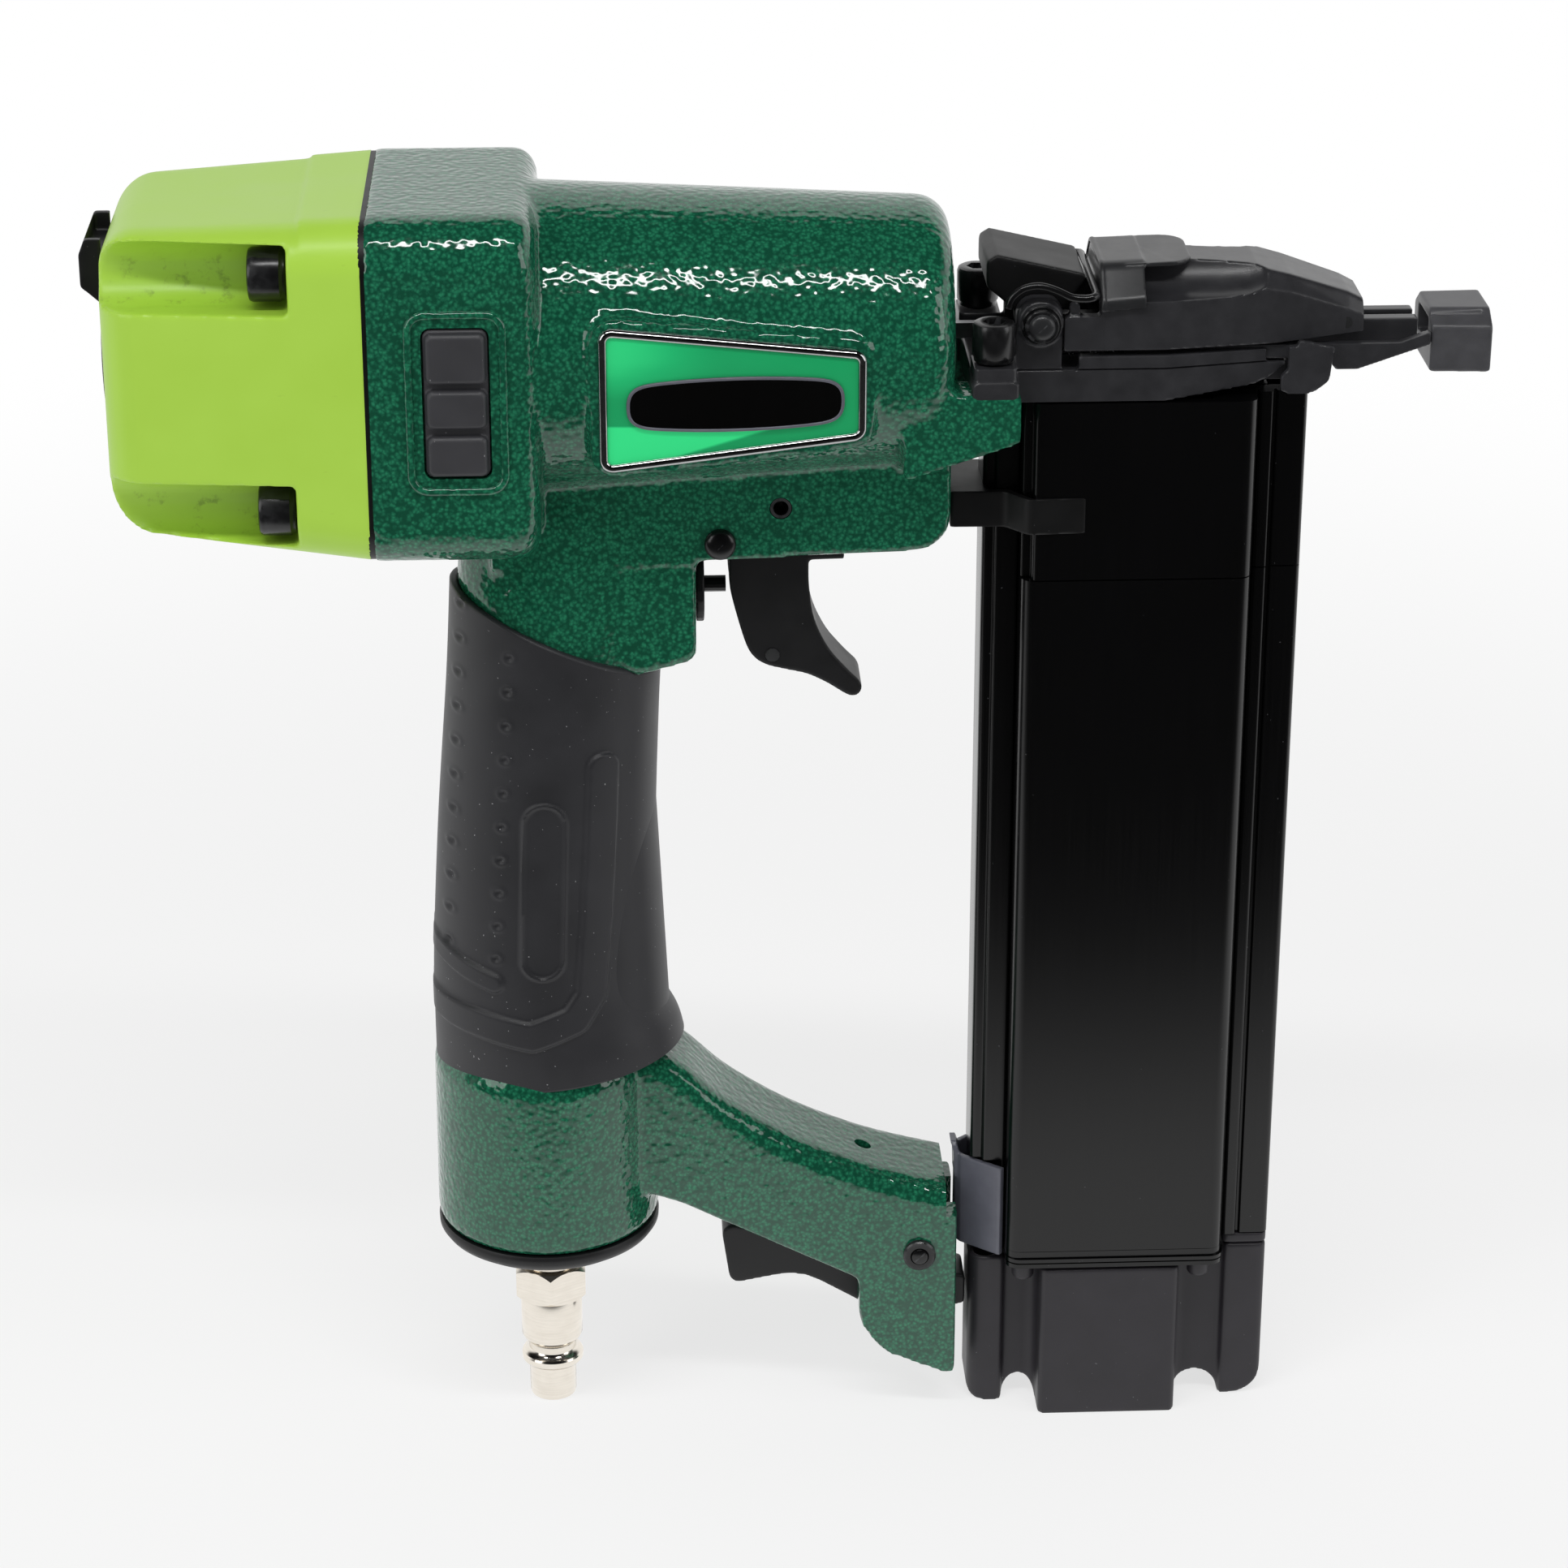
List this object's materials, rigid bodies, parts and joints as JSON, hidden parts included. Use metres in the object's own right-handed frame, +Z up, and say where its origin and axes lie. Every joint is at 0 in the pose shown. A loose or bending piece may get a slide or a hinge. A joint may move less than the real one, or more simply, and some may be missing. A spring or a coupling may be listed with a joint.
{
  "type": "pneumatic brad nailer",
  "caption": "Pistol-grip pneumatic brad nailer with a round drive cylinder, finned nose door, spring-fed straight magazine, rubber grip and quick-connect air plug.",
  "frame": {"origin": "under the middle of the tool, on the plane the magazine base and the air plug stand on", "axes": "+X along the drive line towards the nose, +Z up from the magazine base, +Y to the tool's left"},
  "size_m": [0.2632, 0.066, 0.26],
  "materials": {
    "green_hammer_paint": "green hammertone paint over a light-alloy casting",
    "lime_paint": "satin lime paint over a light-alloy casting",
    "black_anodised": "black anodised or blackened metal",
    "black_plastic": "black moulded plastic",
    "charcoal_rubber": "charcoal moulded rubber",
    "nickel": "bright nickel plate",
    "steel": "plain steel",
    "aluminium": "machined aluminium",
    "emerald_foil": "emerald foil under clear gloss"
  },
  "bodies": {
    "frame": {"main_housing": "green_hammer_paint", "cylinder_cap": "lime_paint", "cap_gasket": "charcoal_rubber", "cap_screw_1": "black_anodised", "cap_screw_2": "black_anodised", "cap_screw_3": "black_anodised", "cap_screw_4": "black_anodised", "deflector_screw": "black_anodised", "cylinder_sleeve": "aluminium", "drive_bumper": "charcoal_rubber", "head_valve_spring": "steel", "side_pad_left": "charcoal_rubber", "side_pad_right": "charcoal_rubber", "badge_left": "emerald_foil", "badge_right": "emerald_foil", "grip_sleeve": "charcoal_rubber", "handle_end_cap": "black_plastic", "air_plug": "nickel", "trigger_pin": "black_anodised", "trigger_valve_body": "black_plastic", "valve_spring": "steel", "roll_pin": "steel", "nose_plate": "black_anodised", "nose_screw_1": "black_anodised", "nose_screw_2": "black_anodised", "nose_guide": "black_anodised", "door_hinge_pin": "steel", "latch_pivot_pin": "black_anodised", "contact_spring": "steel", "guide_clip": "black_anodised", "magazine_core": "black_anodised", "magazine_bracket": "black_plastic", "magazine_head": "black_anodised", "latch_plate": "black_anodised", "release_pin": "black_anodised", "release_spring": "steel", "nail_strip": "steel"},
    "deflector": {"exhaust_deflector": "black_plastic"},
    "driver": {"piston": "aluminium", "piston_ring": "charcoal_rubber", "driver_blade": "steel"},
    "head_valve_body": {"head_valve": "aluminium"},
    "trigger_body": {"trigger": "black_plastic", "tongue_pin": "steel"},
    "tongue_body": {"trigger_tongue": "steel"},
    "stem_body": {"valve_stem": "black_anodised"},
    "contact": {"contact_arm": "black_anodised", "contact_foot": "black_anodised"},
    "latch": {"latch_lever": "black_plastic"},
    "bail": {"latch_bail": "black_anodised"},
    "door": {"nose_door": "black_anodised", "door_clip": "black_anodised"},
    "magazine": {"magazine_cover": "black_anodised", "magazine_base": "black_plastic", "base_screw_1": "black_anodised", "base_screw_2": "black_anodised", "pusher_spring": "steel"},
    "pusher": {"nail_pusher": "steel"},
    "release": {"release_lever": "black_plastic"}
  },
  "joints": [
    {"name": "deflector_turn", "type": "hinge", "parent": "frame", "child": "deflector", "pos_m": [-0.1272, 0, 0.23], "axis": [1, 0, 0], "continuous": true},
    {"name": "driver_stroke", "type": "slide", "parent": "frame", "child": "driver", "axis": [1, 0, 0], "range_m": [0, 0.0777]},
    {"name": "head_valve_lift", "type": "slide", "parent": "frame", "child": "head_valve_body", "axis": [1, 0, 0], "range_m": [-0.003, 0], "stiffness_N_per_m": 400, "springref_m": 0.002, "deforming": ["head_valve_spring"]},
    {"name": "trigger_pull", "type": "hinge", "parent": "frame", "child": "trigger_body", "pos_m": [-0.014, 0, 0.1927], "axis": [0, 1, 0], "range_deg": [0, 10], "stiffness_Nm_per_rad": 0.8, "springref_deg": -5.73},
    {"name": "tongue_swing", "type": "hinge", "parent": "trigger_body", "child": "tongue_body", "pos_m": [-0.0038, 0, 0.1668], "axis": [0, 1, 0], "range_deg": [-2.2, 0.2]},
    {"name": "valve_stem_push", "type": "slide", "parent": "frame", "child": "stem_body", "axis": [1, 0, 0], "range_m": [-0.0025, 0.0002], "deforming": ["valve_spring"]},
    {"name": "contact_press", "type": "slide", "parent": "frame", "child": "contact", "axis": [1, 0, 0], "range_m": [-0.008, 0], "stiffness_N_per_m": 200, "springref_m": 0.008, "deforming": ["contact_spring"]},
    {"name": "latch_flip", "type": "hinge", "parent": "frame", "child": "latch", "pos_m": [0.0459, 0, 0.2352], "axis": [0, 1, 0], "range_deg": [0, 50]},
    {"name": "bail_swing", "type": "hinge", "parent": "latch", "child": "bail", "pos_m": [0.0385, 0, 0.243], "axis": [0, 1, 0], "range_deg": [-25.5, 0.5]},
    {"name": "door_lift", "type": "hinge", "parent": "frame", "child": "door", "pos_m": [0.104, 0, 0.233], "axis": [0, 1, 0], "range_deg": [-0.5, 30.5]},
    {"name": "magazine_slide", "type": "slide", "parent": "frame", "child": "magazine", "axis": [0, 0, -1], "range_m": [0, 0.12]},
    {"name": "pusher_feed", "type": "slide", "parent": "magazine", "child": "pusher", "axis": [0, 0, 1], "range_m": [-0.045, 0], "stiffness_N_per_m": 30, "springref_m": 0.03, "deforming": ["pusher_spring"]},
    {"name": "release_press", "type": "hinge", "parent": "frame", "child": "release", "pos_m": [0.0258, 0, 0.0373], "axis": [0, 1, 0], "range_deg": [0, 8], "stiffness_Nm_per_rad": 1, "springref_deg": -5.73, "deforming": ["release_spring"]}
  ],
  "couplings": [
    {"joint": "valve_stem_push", "follows": "trigger_pull", "m_per_rad": -0.0132},
    {"joint": "tongue_swing", "follows": "contact_press", "rad_per_m": 4.36},
    {"joint": "bail_swing", "follows": "latch_flip", "ratio": -0.5},
    {"joint": "door_lift", "follows": "latch_flip", "ratio": 0.6}
  ]
}
